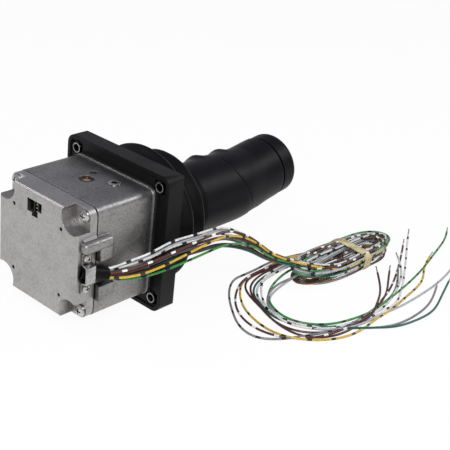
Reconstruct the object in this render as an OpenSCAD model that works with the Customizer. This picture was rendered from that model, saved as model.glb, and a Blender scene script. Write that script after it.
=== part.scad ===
// Industrial joystick: a flange-mounted two-axis joystick with a moulded grip,
// a rubber bellows, a die-cast housing and a loom of loose wires.
//
// Millimetres. The lever's axis is X and the grip is at +X. The origin is the
// middle of the flange's rear face, which is the face that sits on the panel.
// The wires leave the -Y side. The joystick lies with -Z down.

/* [Mounting flange] */
// Width of the square flange
flange_w = 95; // [92:0.5:104]
// Thickness of the flange
flange_t = 15; // [12:0.5:18]
// Corner radius of the flange
flange_r = 7; // [4:0.5:10]
// Draft of the flange's sides, in degrees
flange_draft = 5; // [0:0.5:6]
// How far the mounting holes lie beyond the housing's sides
bolt_out = 2; // [1.5:0.25:3]
// Radius of the mounting holes, which take M5
bolt_hole_r = 2.65; // [2.5:0.05:3]
// Radius of the opening that the lever swings in
opening_r = 31; // [29:0.5:32]

/* [Housing] */
// Width of the square housing
housing_w = 74; // [72:1:78]
// Depth of the housing behind the flange
housing_d = 47; // [45:1:56]
// Corner radius of the housing
housing_r = 6; // [5:0.5:8]
// Wall of the housing and the rear cover
wall = 3.2; // [2.6:0.1:3.8]
// Depth of the rear cover
cover_d = 14.9; // [13:0.1:20]
// Thickness of the gasket between the housing and the cover
gasket_t = 0.8; // [0.5:0.1:1.5]
// Radius of the scallops at the cover's corners
scallop_r = 10; // [9:0.25:10.25]

/* [Gimbal] */
// Distance from the flange's rear face back to the gimbal's centre
gimbal_back = 24.5; // [23:0.5:26]
// Radius of the pivot pins
pivot_r = 3; // [2.5:0.25:3.25]
// Radius of the lever's rod
rod_r = 6; // [5:0.25:6.5]
// Running clearance between a pin and its bush
running_gap = 0.03; // [0.02:0.01:0.08]

/* [Bellows] */
// How far the bellows' large fold stays inside the flange's edge
fold_inset = 0.1; // [0.1:0.1:2]
// Radius of the bellows' small fold
small_fold_r = 39; // [37:0.5:42]
// Thickness of the rubber
rubber_t = 1.6; // [1.2:0.1:2]

/* [Grip] */
// Distance from the flange's front face to the foot of the grip
grip_gap = 42; // [41:0.5:50]
// Radius of the grip where the palm holds it
palm_r = 25.8; // [24:0.2:28]
// Radius of the grip's head
head_r = 23; // [22:0.2:24]
// Lean of the grip's head, in degrees
head_lean = 8; // [0:1:10]
// How far the finger ridges stand out
ridge_h = 1.7; // [0.5:0.1:2.5]

/* [Wires] */
// Radius of the bundle of wires
bundle_r = 3.2; // [3:0.1:3.6]
// Radius of one wire
wire_r = 0.8; // [0.6:0.1:1]

/* [Hidden] */
$fn = 64;
eps = 0.01;

// Stations along the lever's axis.
seam_x = -housing_d;
cover_front_x = seam_x - gasket_t;
rear_x = cover_front_x - cover_d;
gimbal_x = -gimbal_back;
grip_x = flange_t + grip_gap;

// Fasteners.
m4_tap_r = 1.65;
m4_clear_r = 2.15;
m4_head_r = 4;
m4_head_h = 2.6;
m3_r = 1.25;
m3_head_r = 2.9;
m3_head_h = 2.2;
seat_gap = 0.3;

// Flange details.
bolt_pitch = housing_w + 2 * bolt_out;
screw_at = housing_w / 2 - 5;
edge_chamfer = 0.9;
pocket_w = 10;
pocket_h = 8;
pocket_d = 6;
nut_t = 3;
nut_collar = 0.8;

// Housing details.
front_wall = 4;
lip = 0.8;
lip_t = 2.4;
post_r = 4.9;
inner_w = housing_w - 2 * wall;
inner_r = housing_r - 2;
seat_t = 5.1;
scallop_wall = 1.9;

// Gimbal details: a yoke that swings about Z carries the lever, which swings about Y.
yoke_x = 11;
yoke_y = 20;
yoke_z = 22;
yoke_wall = 5.5;
bush_wall = 2;
bush_r = pivot_r + bush_wall;
bush_flange = 1.5;
pivot_boss_r = 8;
pivot_boss_t = 7;
boss_end = inner_w / 2 - pivot_boss_t;
hub_r = 9;
spring_wire_r = 0.7;
spring_turns = 3;
spring_leg = 17;
post_pin_r = 1.5;
yoke_post = 12.6;
lever_post = 10;
housing_post = 16;

// The cable's sleeve lies in the side wall under a saddle clamp.
sleeve_r = 4.4;
sleeve_x = rear_x + wall + 0.5;
sleeve_y = -housing_w / 2 + 0.9;
sleeve_z = -1.5;
sleeve_turn = -14;
sleeve_dip = 16;
sleeve_len = 19;
clamp_x = sleeve_x + 3.4;
clamp_z = -2.5;
clamp_w = 7;
clamp_t = 1.2;
clamp_arch = 6;
clamp_reach = 10;
boss_x = -43;
boss_t = 3.8;

// The sensor board stands on four posts inside the rear cover.
board_at = 22.2;
board_t = 1.6;
board_post = 5.4;
board_w = 58;
board_screw_r = 1.25;
board_x = rear_x + wall + board_post;

// Grip details.
palm_drop = 1.8;
palm_len = 66;
palm_round = 6;
shoulder_x = grip_x + 39;
seam_mid_x = grip_x + 51.5;
seam_slope = 25;
ridge_r = 24;
ridge_half = 9;
ridge_sunk = 3.4;
lean_x = grip_x + 71;
head_end = 22;
cap_gap = 0.6;
cap_len = 14;
cap_s = head_end + cap_gap;
cap_end = cap_s + cap_len;
cap_round = 5;
cavity_r = 16;
nut_x = shoulder_x + 8;
thread_r = 4;
washer_r = 9;
nut_r = 7.5;
nut_len = 6.5;
rocker_z = 6;
rocker_s = head_end + cap_gap + 8;
rocker_half = 10;
rocker_w = 12;
rocker_h = 8.5;
rocker_pin_r = 1.5;

// The wires lie on the surface that the joystick rests on.
floor_z = -47.5;
tie_t = 1.2;
bundle_path = [
    [-41.5, -40.3, -6.7], [-37, -41.5, -7.4], [-29, -45, -7], [-14, -50.5, -4], [4, -53.5, -1], [22, -56, 1],
    [40, -58, 1], [57, -61, -5], [72, -64, -14], [85, -67, -24], [97, -71, -36]
];
loop_path = [
    [104, -64, -44.3], [90, -57, -44.3], [74, -57.5, -44.3], [60, -67, -44.3], [51, -84, -44.3],
    [48, -103, -44.3], [53, -119, -44.3], [66, -132, -44.3], [84, -139, -44.3], [104, -141, -44.3],
    [122, -140, -44.3], [136, -137, -44.3]
];
green_tail = [[136.8, -138.5, -46.5], [160, -134, -46.5], [192, -125, -46.5], [230, -114, -46.5], [262, -105, -46.5], [278, -98, -46.5]];
black_tail = [[136.2, -134.5, -46.5], [160, -128, -46.7], [184, -118, -46.7], [208, -103, -46.7], [226, -93, -46.7]];
grey_tail = [[134, -140.7, -46.5], [158, -146, -46.5], [194, -147, -46.7]];
teal_tail = [[120, -143.3, -46.5], [136, -153, -46.7], [150, -162, -46.7], [163, -163, -46.7]];
hank_mid = [153, -81.5];
hank_len = 116;
hank_w = 40;
hank_turn = -3;
hank_low = floor_z + tie_t;
hank_t = 13;
tie_w = 11;
tie_at = 10;

// Stations of the bellows.
fold_r = flange_w / 2 - fold_inset;
base_r = fold_r - 3.2;
ring_out = base_r - rubber_t - 2.6;
ring_w = 5.6;
ring_screw_r = ring_out - ring_w / 2;
base_in = ring_out - ring_w - 0.4;
fold_x = flange_t + 11;
valley_x = flange_t + 21;
small_x = flange_t + 30.5;
valley_r = small_fold_r - 3;
neck_r = rod_r + 2;
fold_tip = 4.5;
small_tip = 4;

// ---------------------------------------------------------------- helpers

// A 2D shape in the YZ plane, extruded along X.
module along_x(x0, x1) translate([x0, 0, 0]) rotate([90, 0, 90]) linear_extrude(x1 - x0) children();

// A profile of [radius, x] points, turned about the X axis.
module turned_x(x0 = 0) translate([x0, 0, 0]) rotate([90, 0, 90]) rotate_extrude() children();

module cyl_x(x0, x1, r, y = 0, z = 0) translate([x0, y, z]) rotate([0, 90, 0]) cylinder(h = x1 - x0, r = r);

module cyl_y(y0, y1, r, x = 0, z = 0) translate([x, y0, z]) rotate([-90, 0, 0]) cylinder(h = y1 - y0, r = r);

module cyl_z(z0, z1, r, x = 0, y = 0) translate([x, y, z0]) cylinder(h = z1 - z0, r = r);

// A box from its two corners.
module block(a, b) translate(a) cube(b - a);

module rounded_square(w, r) {
    square([w, w - 2 * r], center = true);
    square([w - 2 * r, w], center = true);
    for (sy = [-1, 1], sz = [-1, 1]) translate([sy * (w / 2 - r), sz * (w / 2 - r)]) circle(r);
}

// Copies at the four corners of a square, p from the axis each way.
module corners(p) for (sy = [-1, 1], sz = [-1, 1]) translate([0, sy * p, sz * p]) children();

// A pan head screw along X, its head's underside at x and its shank going to +X.
module pan_screw(x, shank, r, head_r, head_h) {
    cyl_x(x, x + shank, r);
    difference() {
        intersection() {
            cyl_x(x - head_h, x, head_r);
            translate([x - head_h + 1.6 * head_r, 0, 0]) sphere(1.6 * head_r);
        }
        for (a = [0, 90]) rotate([a, 0, 0])
            block([x - head_h - 1, -head_r / 9, -head_r / 2], [x - head_h + 1.2, head_r / 9, head_r / 2]);
    }
}

function unit(v) = v / norm(v);
function tangent(p, i) = unit(p[min(i + 1, len(p) - 1)] - p[max(i - 1, 0)]);
function ring(p, i, r, sides) = let (t = tangent(p, i), n = unit(cross(t, [0, 0, 1])), b = cross(n, t))
    [for (k = [0:sides - 1]) p[i] + r * (cos(360 * k / sides) * n + sin(360 * k / sides) * b)];

// A tube of radius r along a list of points.
module tube(p, r, sides = 8) {
    last = len(p) - 1;
    points = [for (i = [0:last]) each ring(p, i, r, sides)];
    walls = [for (i = [0:last - 1], k = [0:sides - 1]) let (a = i * sides + k, b = i * sides + (k + 1) % sides)
        [a, a + sides, b + sides, b]];
    ends = [[for (k = [0:sides - 1]) k], [for (k = [sides - 1:-1:0]) last * sides + k]];
    polyhedron(points, concat(walls, ends));
}

// The centreline of a torsion spring about Z: a leg that hugs a post, the coil, and a leg on the post's other side.
function coil_points(r, rise, turns, leg, gap) = let (reach = atan2(gap, leg) + acos(r / norm([leg, gap])),
    sweep = 360 * turns - 2 * reach, n = turns * 12)
    concat([[leg, -gap, 0]], [for (i = [0:n]) let (a = -reach - sweep * i / n) [r * cos(a), r * sin(a), rise * i / n]],
        [[leg, gap, rise]]);

// ---------------------------------------------------------------- flange

module mounting_flange() color("#1f1f21") difference() {
    along_x(0, flange_t) rounded_square(flange_w, flange_r);
    for (a = [0:90:270]) rotate([a, 0, 0]) {
        translate([0, flange_w / 2, -flange_w]) rotate([0, 0, -flange_draft])
            translate([-flange_t, 0, 0]) cube([3 * flange_t, flange_t, 2 * flange_w]);
        translate([flange_t - edge_chamfer, flange_w / 2 - flange_t * tan(flange_draft), -flange_w])
            rotate([0, 0, -45]) translate([-flange_t, 0, 0]) cube([2 * flange_t, flange_t, 2 * flange_w]);
    }
    cyl_x(-1, flange_t + 1, opening_r);
    corners(bolt_pitch / 2) {
        cyl_x(-1, flange_t + 1, bolt_hole_r);
        block([-1, -pocket_w / 2, -pocket_h / 2], [pocket_d, pocket_w / 2, pocket_h / 2]);
    }
    corners(screw_at) {
        cyl_x(-1, flange_t + 1, m4_clear_r);
        cyl_x(flange_t - m4_head_h - seat_gap, flange_t + 1, m4_head_r + seat_gap);
    }
    // The rear face is cut back between the outer rim and the housing.
    difference() {
        along_x(-1, 1) rounded_square(flange_w - 5, flange_r - 2);
        along_x(-2, 2) rounded_square(housing_w + 2 * lip + 1, housing_r + lip);
        corners(bolt_pitch / 2) cyl_x(-2, 2, bolt_hole_r + 2);
    }
    for (i = [0:5]) rotate([60 * i, 0, 0]) cyl_x(flange_t - 7, flange_t + 1, m3_r, ring_screw_r);
}

module corner_nuts() color("#d8d8dc") corners(bolt_pitch / 2) difference() {
    union() {
        block([pocket_d - nut_t, -pocket_w / 2 + seat_gap, -pocket_h / 2 + seat_gap],
            [pocket_d, pocket_w / 2 - seat_gap, pocket_h / 2 - seat_gap]);
        cyl_x(0, pocket_d, bolt_hole_r + nut_collar);
    }
    cyl_x(-1, pocket_d + 1, bolt_hole_r);
}

module flange_screws() color("#c8c8cc") corners(screw_at) mirror([1, 0, 0])
    pan_screw(-(flange_t - m4_head_h - seat_gap), flange_t + 6, m4_tap_r, m4_head_r, m4_head_h);

// ---------------------------------------------------------------- housing

// Bosses on the side wall, one above the cable and one below it; the upper one runs on over the cover.
module clamp_boss(x0, x1, low, high, slope) along_x(x0, x1)
    polygon([[-housing_w / 2 + 1, low], [-housing_w / 2 - boss_t, low], [-housing_w / 2 - boss_t, high - slope],
        [-housing_w / 2, high], [-housing_w / 2 + 1, high]]);

module housing() color("#b9bcc2") difference() {
    union() {
        difference() {
            union() {
                along_x(seam_x, 0) rounded_square(housing_w, housing_r);
                along_x(-lip_t, 0) rounded_square(housing_w + 2 * lip, housing_r + lip);
                clamp_boss(seam_x, boss_x + 6, 3, 19, 6);
                clamp_boss(seam_x, boss_x + 8, -24, -13, 1);
            }
            along_x(seam_x - 1, -front_wall) rounded_square(inner_w, inner_r);
        }
        corners(screw_at) cyl_x(seam_x, 0, post_r);
        for (s = [0, 180]) rotate([s, 0, 0]) cyl_z(boss_end, housing_w / 2 - 1, pivot_boss_r, gimbal_x);
        cyl_z(boss_end - 1, housing_w / 2 - 1, post_pin_r, gimbal_x + housing_post);
    }
    cyl_x(-front_wall - 1, 1, opening_r);
    corners(screw_at) cyl_x(seam_x - 1, 1, m4_tap_r);
    for (s = [0, 180]) rotate([s, 0, 0]) cyl_z(boss_end - 1, housing_w / 2 + 1, bush_r, gimbal_x);
    cyl_z(inner_w / 2 - 1, housing_w / 2 + 1, 3.2, gimbal_x + 9.5, -15);
    cyl_z(housing_w / 2 - 2, housing_w / 2 + 1, 2.2, gimbal_x + 10, 5);
    on_sleeve() cyl_x(0, sleeve_len + 6, sleeve_r);
}

module cover_gasket() color("#2b2b2b") difference() {
    along_x(cover_front_x, seam_x) rounded_square(housing_w - 0.6, housing_r);
    along_x(cover_front_x - 1, seam_x + 1) difference() {
        rounded_square(inner_w, inner_r);
        for (sy = [-1, 1], sz = [-1, 1]) translate([sy * screw_at, sz * screw_at]) circle(post_r);
    }
    corners(screw_at) cyl_x(cover_front_x - 1, seam_x + 1, m4_clear_r);
    on_sleeve() cyl_x(0, sleeve_len, sleeve_r);
}

module rear_cover() color("#d3d4d6") difference() {
    union() {
        difference() {
            along_x(rear_x, cover_front_x) rounded_square(housing_w, housing_r);
            along_x(rear_x + wall, cover_front_x + 1) rounded_square(inner_w, inner_r);
        }
        intersection() {
            corners(screw_at) cyl_x(rear_x, cover_front_x, scallop_r + scallop_wall);
            along_x(rear_x, cover_front_x) rounded_square(housing_w, housing_r);
        }
        corners(board_at) cyl_x(rear_x + wall - eps, board_x, 3);
        clamp_boss(rear_x + 4.7, cover_front_x, clamp_z + clamp_reach + 3.8, 20, 6);
    }
    corners(screw_at) {
        cyl_x(rear_x - 1, cover_front_x - seat_t, scallop_r);
        cyl_x(rear_x, cover_front_x + 1, m4_clear_r);
    }
    corners(board_at) cyl_x(rear_x - 1, board_x + 1, board_screw_r);
    // The rear edges are broken.
    for (a = [0:90:270]) rotate([a, 0, 0]) translate([rear_x + 1.2, housing_w / 2, -housing_w])
        rotate([0, 0, 45]) translate([-2 * wall, 0, 0]) cube([4 * wall, wall, 2 * housing_w]);
    // The stepped window over the service socket.
    block([rear_x - 1, -4, 25], [rear_x + wall + 1, 9.5, 31]);
    block([rear_x - 1, 2.5, 22.5], [rear_x + wall + 1, 9.5, 26]);
    block([rear_x - 1, -0.5, 20.5], [rear_x + wall + 1, 5, 26]);
    // The cable's sleeve and its clamp.
    on_sleeve() cyl_x(0, sleeve_len, sleeve_r);
    for (s = [-1, 1]) cyl_y(-housing_w / 2 - 1, -inner_w / 2 + 1, m3_r, clamp_x, clamp_z + s * clamp_reach);
}

module cover_screws() color("#e2e2e2") corners(screw_at)
    pan_screw(cover_front_x - seat_t, seat_t + 16, m4_tap_r, m4_head_r, m4_head_h);

// The sleeve slants out of the side wall.
module on_sleeve() translate([sleeve_x, sleeve_y, sleeve_z]) rotate([0, sleeve_dip, sleeve_turn]) children();

module cable_sleeve() color("#151515") on_sleeve() difference() {
    cyl_x(0, sleeve_len, sleeve_r);
    cyl_x(-1, sleeve_len + 1, bundle_r + 0.1);
}

// A saddle: a flat foot each side of a raised arch.
module saddle_outline(h) translate([-housing_w / 2, clamp_z])
    polygon([[0, -clamp_arch - h], [0, clamp_arch + h], [-clamp_arch + 1.5 - h, clamp_arch - 1 + h / 2],
        [-clamp_arch + 1.5 - h, -clamp_arch + 1 - h / 2]]);

module cable_clamp() color("#dcdcdc") difference() {
    along_x(clamp_x - clamp_w / 2, clamp_x + clamp_w / 2) difference() {
        union() {
            saddle_outline(clamp_t);
            translate([-housing_w / 2 - clamp_t, clamp_z - clamp_reach - 3.3]) square([clamp_t, 2 * clamp_reach + 6.6]);
        }
        saddle_outline(0);
    }
    on_sleeve() cyl_x(-1, sleeve_len, sleeve_r);
    for (s = [-1, 1]) cyl_y(-housing_w / 2 - 3, 0, m3_r + 0.2, clamp_x, clamp_z + s * clamp_reach);
}

module clamp_screws() color("#e0e0e0") for (s = [-1, 1])
    translate([clamp_x, -housing_w / 2 - clamp_t, clamp_z + s * clamp_reach]) rotate([0, 0, 90])
        pan_screw(0, clamp_t + wall, m3_r, m3_head_r, m3_head_h);

module pivot_bushes() color("#a9743f") for (s = [0, 180]) rotate([s, 0, 0]) difference() {
    union() {
        cyl_z(boss_end, housing_w / 2 - 0.2, bush_r, gimbal_x);
        cyl_z(boss_end - 1, boss_end, bush_r + bush_flange, gimbal_x);
    }
    cyl_z(boss_end - 2, housing_w / 2 + 1, pivot_r + running_gap, gimbal_x);
}

module stop_screw() color("#cfd0d2") translate([gimbal_x + 9.5, -15, 0]) difference() {
    union() {
        cyl_z(housing_w / 2, housing_w / 2 + 0.6, 4.4);
        cyl_z(inner_w / 2 - 4, housing_w / 2, 3.2);
    }
    cyl_z(housing_w / 2 - 1.4, housing_w / 2 + 1, 2.2, $fn = 6);
}

// ---------------------------------------------------------------- sensing

module sensor_board() color("#1e5a38") difference() {
    along_x(board_x, board_x + board_t) difference() {
        square(board_w, center = true);
        for (sy = [-1, 1], sz = [-1, 1]) translate([sy * screw_at, sz * screw_at]) circle(scallop_r + scallop_wall + seat_gap);
        translate([-board_w / 2, sleeve_z]) circle(sleeve_r + 5);
    }
    corners(board_at) cyl_x(board_x - 1, board_x + board_t + 1, board_screw_r + 0.1);
}

module board_parts() color("#26262a") {
    front = board_x + board_t;
    block([front, -2.5, -2.5], [front + 1.2, 2.5, 2.5]);
    block([front, 9, -9], [front + 1.6, 19, 1]);
    block([front, -16, 6], [front + 2.2, -9, 11]);
    for (i = [0:3]) block([front, -12 + 5 * i, -18], [front + 1, -9.5 + 5 * i, -14]);
    for (i = [0:1]) cyl_x(front, front + 6, 3.2, 12 - 9 * i, 16);
}

module board_screws() color("#d0d0d0") corners(board_at) mirror([1, 0, 0])
    pan_screw(-board_x - board_t, board_t + 4, board_screw_r, board_screw_r + 0.6, 1.4);

// The socket's rear face stands just inside the cover's window.
module service_socket() color("#161616") difference() {
    block([rear_x + 1.2, -0.2, 21], [board_x, 4.7, 30.4]);
    block([rear_x, 1, 22], [rear_x + 4, 3.6, 29.4]);
}

module socket_pins() color("#d9c48a") for (i = [0:2])
    block([rear_x + 1.8, 2, 23.2 + 2.3 * i], [rear_x + 4, 2.7, 23.9 + 2.3 * i]);

// ---------------------------------------------------------------- gimbal

module gimbal_yoke() color("#8d9096") difference() {
    union() {
        block([gimbal_x - yoke_x, -yoke_y, -yoke_z], [gimbal_x + yoke_x, yoke_y, yoke_z]);
        for (s = [0, 180]) rotate([s, 0, 0])
            cyl_z(yoke_z - 1, boss_end - 1 - seat_gap, bush_r, gimbal_x);
        cyl_z(yoke_z - 3, boss_end + 5, post_pin_r, gimbal_x + yoke_post);
        block([gimbal_x, -3, yoke_z - 3], [gimbal_x + yoke_post + 1.5, 3, yoke_z]);
        cyl_y(yoke_y - 1, yoke_y + 4.5, bush_r + 1.5, gimbal_x);
        cyl_y(yoke_y - 3, yoke_y + 5, post_pin_r, gimbal_x + lever_post);
    }
    block([gimbal_x - yoke_x - 1, -yoke_y + yoke_wall, -yoke_z + yoke_wall],
        [gimbal_x + yoke_x + 1, yoke_y - yoke_wall, yoke_z - yoke_wall]);
    for (s = [0, 180]) rotate([s, 0, 0]) cyl_z(yoke_z - yoke_wall - 1, boss_end, pivot_r, gimbal_x);
    cyl_y(-yoke_y - 1, yoke_y + 6, bush_r - 0.5, gimbal_x);
}

module yoke_pins() color("#c9cacd") for (s = [0, 180]) rotate([s, 0, 0])
    cyl_z(yoke_z - yoke_wall, housing_w / 2 - 0.9, pivot_r, gimbal_x);

module yoke_bushes() color("#a9743f") difference() {
    union() {
        cyl_y(-yoke_y, -yoke_y + yoke_wall, bush_r - 0.5, gimbal_x);
        cyl_y(yoke_y - yoke_wall, yoke_y + 4.5, bush_r - 0.5, gimbal_x);
    }
    cyl_y(-yoke_y - 1, yoke_y + 6, pivot_r + running_gap, gimbal_x);
}

module yoke_spring() color("#9fa2a6") translate([gimbal_x, 0, boss_end + 1])
    tube(coil_points(pivot_boss_r + spring_wire_r + 0.4, pivot_boss_t - 2.5, spring_turns, spring_leg,
        post_pin_r + spring_wire_r + 0.1), spring_wire_r);

module lever_spring() color("#9fa2a6") translate([gimbal_x, yoke_y + 1, 0]) rotate([-90, 0, 0])
    tube(coil_points(bush_r + 1.5 + spring_wire_r + 0.4, 3, 2, yoke_post, post_pin_r + spring_wire_r + 0.1), spring_wire_r);

module lever_shaft() color("#c4c6c9") difference() {
    union() {
        cyl_x(gimbal_x - 13, shoulder_x, rod_r);
        cyl_x(shoulder_x - eps, nut_x + 10, thread_r);
        cyl_y(-yoke_y + yoke_wall + seat_gap, yoke_y - yoke_wall - seat_gap, hub_r, gimbal_x);
    }
    cyl_y(-yoke_y, yoke_y, pivot_r, gimbal_x);
}

module cross_shaft() color("#d0d1d4")
    cyl_y(-yoke_y - 3, yoke_y + 7, pivot_r, gimbal_x);

module shaft_clips() color("#55585c") difference() {
    union() {
        cyl_y(-yoke_y - 1.2, -yoke_y - seat_gap, pivot_r + 2.4, gimbal_x);
        cyl_y(yoke_y + 4.5 + seat_gap, yoke_y + 5.7, pivot_r + 2.4, gimbal_x);
    }
    cyl_y(-yoke_y - 3, yoke_y + 8, pivot_r, gimbal_x);
    block([gimbal_x, -yoke_y - 4, -2], [gimbal_x + 8, yoke_y + 8, 2]);
}

module magnet_holder() color("#202020") difference() {
    cyl_x(gimbal_x - 18, gimbal_x - 13, rod_r);
    cyl_x(gimbal_x - 19, gimbal_x - 15, 4);
}

module sensor_magnet() color("#bcbcc4") cyl_x(gimbal_x - 18.5, gimbal_x - 15, 4);

// ---------------------------------------------------------------- bellows

// The base stands on the flange, and the ring clamps it from inside.
// A fold of the bellows: an arc of radius r about [cr, cx], from angle a to b.
function arc(cr, cx, r, a, b, n = 6) = [for (i = [0:n]) let (t = a + (b - a) * i / n) [cr + r * cos(t), cx + r * sin(t)]];

module bellows_lower() color("#242426") difference() {
    turned_x() polygon(concat(
        [[base_r, flange_t], [base_r, flange_t + 2]],
        arc(fold_r - fold_tip, fold_x, fold_tip, -35, 60),
        [[valley_r, valley_x - 1.5], [valley_r, valley_x], [valley_r - rubber_t, valley_x], [valley_r - rubber_t, valley_x - 2.4]],
        arc(fold_r - fold_tip, fold_x, fold_tip - rubber_t, 60, -35),
        [[base_r - rubber_t, flange_t + rubber_t + 0.6], [ring_out, flange_t + rubber_t],
         [base_in, flange_t + rubber_t], [base_in, flange_t]]));
    for (i = [0:5]) rotate([60 * i, 0, 0]) cyl_x(flange_t - 1, flange_t + 4, m3_r, ring_screw_r);
}

module bellows_upper() color("#242426") {
    foot = grip_x - seat_gap;
    turned_x() polygon(concat(
        [[valley_r - rubber_t, valley_x], [valley_r, valley_x], [valley_r, valley_x + 1.5]],
        arc(small_fold_r - small_tip, small_x, small_tip, -40, 75),
        [[small_fold_r * 0.6, small_x + 6], [neck_r + 1, small_x + 7.5], [neck_r, small_x + 8.5], [neck_r, foot],
         [rod_r, foot], [rod_r, small_x + 6.2], [small_fold_r * 0.6, small_x + 4.2]],
        arc(small_fold_r - small_tip, small_x, small_tip - rubber_t, 75, -40),
        [[valley_r - rubber_t, valley_x + 2.2]]));
}

module bellows_ring() color("#1b1b1d") difference() {
    cyl_x(flange_t + rubber_t, flange_t + rubber_t + 2, ring_out);
    cyl_x(flange_t, flange_t + 6, ring_out - ring_w);
    for (i = [0:5]) rotate([60 * i, 0, 0]) cyl_x(flange_t, flange_t + 6, m3_r, ring_screw_r);
}

module ring_screws() color("#c8c8cc") for (i = [0:5]) rotate([60 * i, 0, 0])
    translate([0, ring_screw_r, 0]) mirror([1, 0, 0])
        pan_screw(-(flange_t + rubber_t + 2), rubber_t + 8, m3_r, m3_head_r - 0.3, 1.6);

module neck_clip() color("#b4b6b9") difference() {
    cyl_x(grip_x - 2.4, grip_x - 0.9, neck_r + 0.8);
    cyl_x(grip_x - 3, grip_x, neck_r);
    block([grip_x - 3, -1, 0], [grip_x, 1, neck_r + 3]);
}

// ---------------------------------------------------------------- grip

// Everything on the leaning head is drawn along its own axis, s = 0 at lean_x.
module on_head() translate([lean_x, 0, 0]) rotate([0, -head_lean, 0]) children();

// The space in front of the slanted joint between the grip's sleeve and its head.
module beyond_seam(gap = 0) translate([seam_mid_x + gap, 0, 0]) rotate([0, -seam_slope, 0])
    block([0, -flange_w, -flange_w], [flange_w, flange_w, flange_w]);

module grip_cavity() cyl_x(nut_x - 0.5, lean_x + 4, cavity_r);

module palm_form() translate([0, 0, -palm_drop]) turned_x() polygon(concat(
    [[0, grip_x]],
    arc(palm_r - palm_round - 1, grip_x + palm_round, palm_round, -90, 0),
    [[palm_r - 0.3, grip_x + 16], [palm_r, grip_x + 26], [palm_r, grip_x + palm_len - 20],
     [palm_r - 0.5, grip_x + palm_len - 10], [palm_r - 1.6, grip_x + palm_len], [0, grip_x + palm_len]]));

// A rounded ridge round the grip, proud on the fingers' side.
module finger_ridge(x) translate([x, 0.9, 0.9]) turned_x() polygon(concat(
    [[0, -ridge_half], [palm_r - ridge_sunk, -ridge_half]],
    arc(palm_r - ridge_sunk - ridge_r + ridge_h, 0, ridge_r, -16, 16, 8),
    [[palm_r - ridge_sunk, ridge_half], [0, ridge_half]]));

module grip_sleeve() color("#232325") difference() {
    union() {
        palm_form();
        finger_ridge(grip_x + 32);
        finger_ridge(grip_x + 55);
    }
    beyond_seam();
    cyl_x(grip_x - 1, shoulder_x, rod_r);
    cyl_x(shoulder_x - 1, nut_x + 1, thread_r);
    grip_cavity();
}

module grip_head() color("#232325") difference() {
    intersection() {
        on_head() turned_x() polygon([[0, -40], [head_r + 0.4, -40], [head_r + 0.4, -14], [head_r, 0],
            [head_r, head_end - 1.5], [head_r - 0.8, head_end - 1], [head_r - 0.8, head_end], [0, head_end]]);
        beyond_seam();
    }
    grip_cavity();
    on_head() cyl_x(-4, head_end + 1, cavity_r);
}

module grip_nut() color("#c9cacd") difference() {
    union() {
        cyl_x(nut_x - 0.5, nut_x + 1, washer_r);
        translate([nut_x + 1, 0, 0]) rotate([0, 90, 0]) cylinder(h = nut_len, r = nut_r, $fn = 6);
    }
    cyl_x(nut_x - 1, nut_x + nut_len + 2, thread_r);
}

module grip_cap() color("#232325") on_head() difference() {
    turned_x() polygon(concat([[0, cap_s - cap_gap], [head_r - 1.6, cap_s - cap_gap], [head_r - 1.6, cap_s], [head_r, cap_s]],
        arc(head_r - cap_round, cap_end - cap_round, cap_round, 0, 80),
        [[0, cap_end + 0.6]]));
    block([cap_s + 3.4, -rocker_w / 2 - 0.4, rocker_z - rocker_half - 2.6], [cap_end + 4, rocker_w / 2 + 0.4, rocker_z + rocker_half + 2.6]);
    cyl_y(-rocker_w / 2 - 4, rocker_w / 2 + 4, rocker_pin_r, rocker_s, rocker_z);
    cyl_x(cap_s - 2, cap_s + 5, 3.8, 0, rocker_z);
}

module thumb_rocker() color("#2e2e31") on_head() difference() {
    intersection() {
        block([rocker_s - 2.5, -rocker_w / 2, rocker_z - rocker_half], [rocker_s + rocker_h, rocker_w / 2, rocker_z + rocker_half]);
        cyl_y(-rocker_w, rocker_w, rocker_half + 0.8, rocker_s + 0.6, rocker_z);
    }
    cyl_y(-rocker_w, rocker_w, 16, rocker_s + rocker_h + 14.6, rocker_z);
    cyl_y(-rocker_w, rocker_w, rocker_pin_r + running_gap, rocker_s, rocker_z);
}

module rocker_pin() color("#c9cacd") on_head()
    cyl_y(-rocker_w / 2 - 4, rocker_w / 2 + 4, rocker_pin_r, rocker_s, rocker_z);

module rocker_switch() color("#1a1a1c") on_head() {
    block([cap_s - 12, -7, rocker_z - 8], [cap_s - cap_gap, 7, rocker_z + 8]);
    cyl_x(cap_s - cap_gap, cap_s + 3.2, 3.4, 0, rocker_z);
}

// ---------------------------------------------------------------- wires

module hank_outline() {
    square([hank_len - hank_w, hank_w], center = true);
    for (s = [-1, 1]) translate([s * (hank_len - hank_w) / 2, 0]) circle(hank_w / 2);
}

module at_hank(z) translate([hank_mid[0], hank_mid[1], z]) rotate([0, 0, hank_turn]) children();

module wire_bundle() color("#7a4a3a") tube(bundle_path, bundle_r, 10);
module wire_loop() color("#8a8a8a") tube(loop_path, bundle_r, 10);
module green_wire_tail() color("#2e8b3a") tube(green_tail, wire_r);
module banded_wire_tail() color("#e8e8e8") tube(black_tail, wire_r);
module grey_wire_tail() color("#9a9a9a") tube(grey_tail, wire_r);
module teal_wire_tail() color("#1c5a50") tube(teal_tail, wire_r);

module wire_hank() color("#6f7a4a") at_hank(hank_low) linear_extrude(hank_t) hank_outline();

module wire_tie() color("#c8b070") at_hank(floor_z) difference() {
    block([tie_at - tie_w / 2, -hank_w / 2 - tie_t, 0], [tie_at + tie_w / 2, hank_w / 2 + tie_t, hank_low - floor_z + hank_t + tie_t]);
    translate([0, 0, hank_low - floor_z]) linear_extrude(hank_t) hank_outline();
}

// ---------------------------------------------------------------- output

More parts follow.
